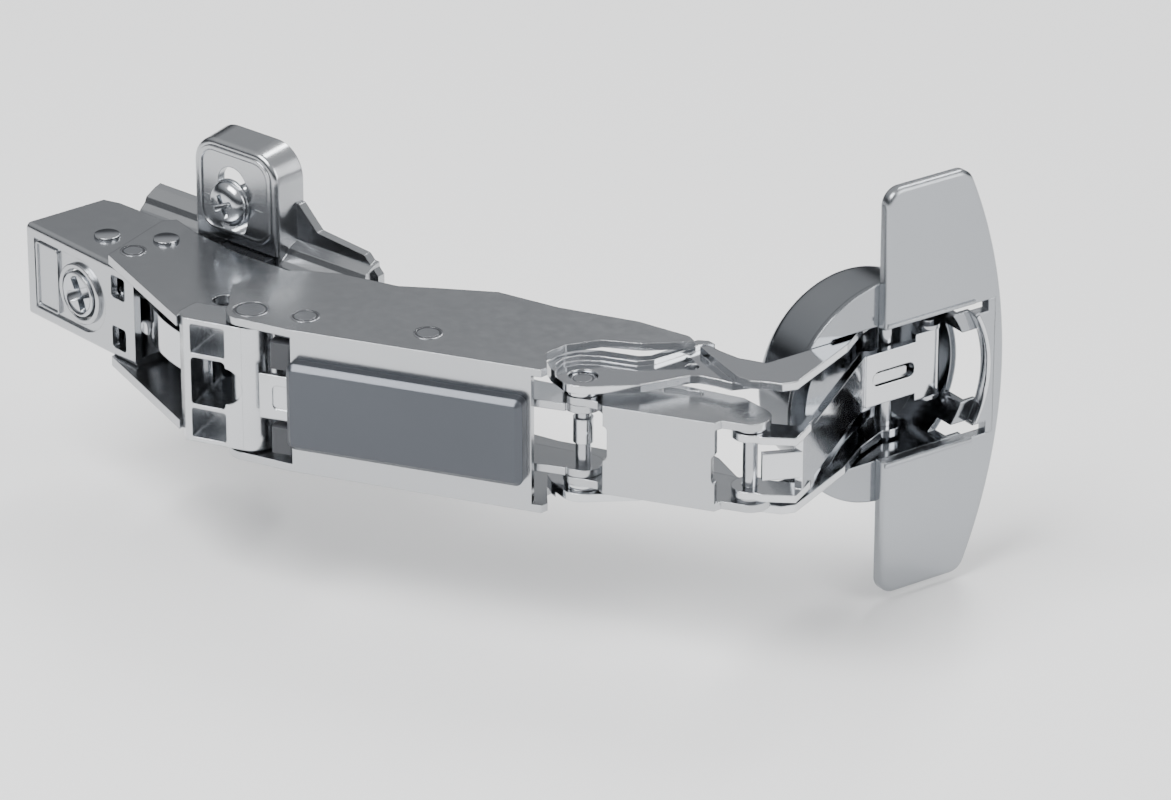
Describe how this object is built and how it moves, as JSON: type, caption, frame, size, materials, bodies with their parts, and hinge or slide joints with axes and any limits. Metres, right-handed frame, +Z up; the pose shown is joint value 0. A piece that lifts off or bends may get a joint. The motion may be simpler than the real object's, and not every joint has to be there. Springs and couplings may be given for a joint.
{
  "type": "concealed cabinet hinge",
  "caption": "Wide-angle concealed cabinet hinge with built-in damper, a clip arm on a cross mounting plate and a drilled cup with a C-shaped cover, shown fully open",
  "frame": {"origin": "on the side panel, midway between the two screws of the mounting plate", "axes": "+X towards the cabinet front, +Y into the side panel, +Z up along the hinge pivots"},
  "size_m": [0.1469, 0.0917, 0.072],
  "materials": {
    "nickel_steel": "nickel-plated sheet steel",
    "bright_nickel": "bright nickel plating",
    "diecast": "nickel-plated zinc casting",
    "pin_steel": "polished steel",
    "screw_steel": "bright zinc-plated steel",
    "cover_grey": "satin dark grey",
    "plastic_grey": "moulded grey plastic",
    "spring_steel": "dark spring steel",
    "satin_cover": "satin nickel"
  },
  "bodies": {
    "plate": {"mounting_plate": "nickel_steel", "plate_screw_upper": "screw_steel", "plate_screw_lower": "screw_steel", "cam_follower": "spring_steel"},
    "arm": {"adjuster_box": "nickel_steel", "arm_foot": "spring_steel", "cam_bracket": "spring_steel", "badge_plate": "nickel_steel", "hinge_arm": "nickel_steel", "front_block": "diecast", "spring_lever": "spring_steel", "main_pin": "pin_steel", "arm_rivet_rear_upper": "pin_steel", "arm_rivet_rear_lower": "pin_steel", "arm_rivet_middle": "pin_steel", "arm_rivet_front": "pin_steel"},
    "cam": {"depth_cam": "screw_steel"},
    "housing": {"housing": "nickel_steel", "inner_bracket": "nickel_steel", "damper_case": "plastic_grey", "damper_cover": "cover_grey", "damper_tab": "diecast", "buffer_upper": "plastic_grey", "buffer_lower": "plastic_grey", "housing_rivet_near": "pin_steel", "housing_rivet_far": "pin_steel", "bridge_pin": "pin_steel", "bridge_roller": "bright_nickel", "bridge_washer_upper": "bright_nickel", "bridge_washer_lower": "bright_nickel"},
    "bridge": {"bridge_link": "nickel_steel", "inner_pin": "pin_steel"},
    "outer": {"outer_link_upper": "bright_nickel", "outer_link_lower": "bright_nickel"},
    "inner": {"inner_link": "bright_nickel", "tongue_pin": "pin_steel"},
    "cup": {"cup": "bright_nickel", "outer_pin": "pin_steel", "cup_cover": "satin_cover"}
  },
  "joints": [
    {"name": "depth_slide", "type": "slide", "parent": "plate", "child": "arm", "axis": [1, 0, 0], "range_m": [-0.00125, 0.00125]},
    {"name": "depth_cam_turn", "type": "hinge", "parent": "arm", "child": "cam", "pos_m": [-0.01862, -0.02396, 0], "axis": [-0.134, -0.991, 0], "range_deg": [-75, 75]},
    {"name": "housing_turn", "type": "hinge", "parent": "arm", "child": "housing", "pos_m": [0.0263, -0.0298, 0], "axis": [0, 0, 1], "range_deg": [-124.5, 0]},
    {"name": "bridge_turn", "type": "hinge", "parent": "housing", "child": "bridge", "pos_m": [0.08, -0.0104, 0], "axis": [0, 0, 1], "range_deg": [-0.3, 46.9]},
    {"name": "outer_turn", "type": "hinge", "parent": "housing", "child": "outer", "pos_m": [0.08, -0.0104, 0], "axis": [0, 0, 1], "range_deg": [-0.3, 72.8]},
    {"name": "inner_turn", "type": "hinge", "parent": "bridge", "child": "inner", "pos_m": [0.10621, -0.0006, 0], "axis": [0, 0, 1], "range_deg": [-0.3, 26.07]},
    {"name": "cup_turn", "type": "hinge", "parent": "outer", "child": "cup", "pos_m": [0.10112, 0.04024, 0], "axis": [0, 0, 1], "range_deg": [-113.3, 0.3]}
  ],
  "couplings": [
    {"joint": "bridge_turn", "follows": "housing_turn", "ratio": -0.3743},
    {"joint": "outer_turn", "follows": "housing_turn", "ratio": -0.58233},
    {"joint": "inner_turn", "follows": "housing_turn", "ratio": -0.20699},
    {"joint": "cup_turn", "follows": "housing_turn", "ratio": 0.90763},
    {"joint": "depth_cam_turn", "follows": "depth_slide", "rad_per_m": -760}
  ]
}
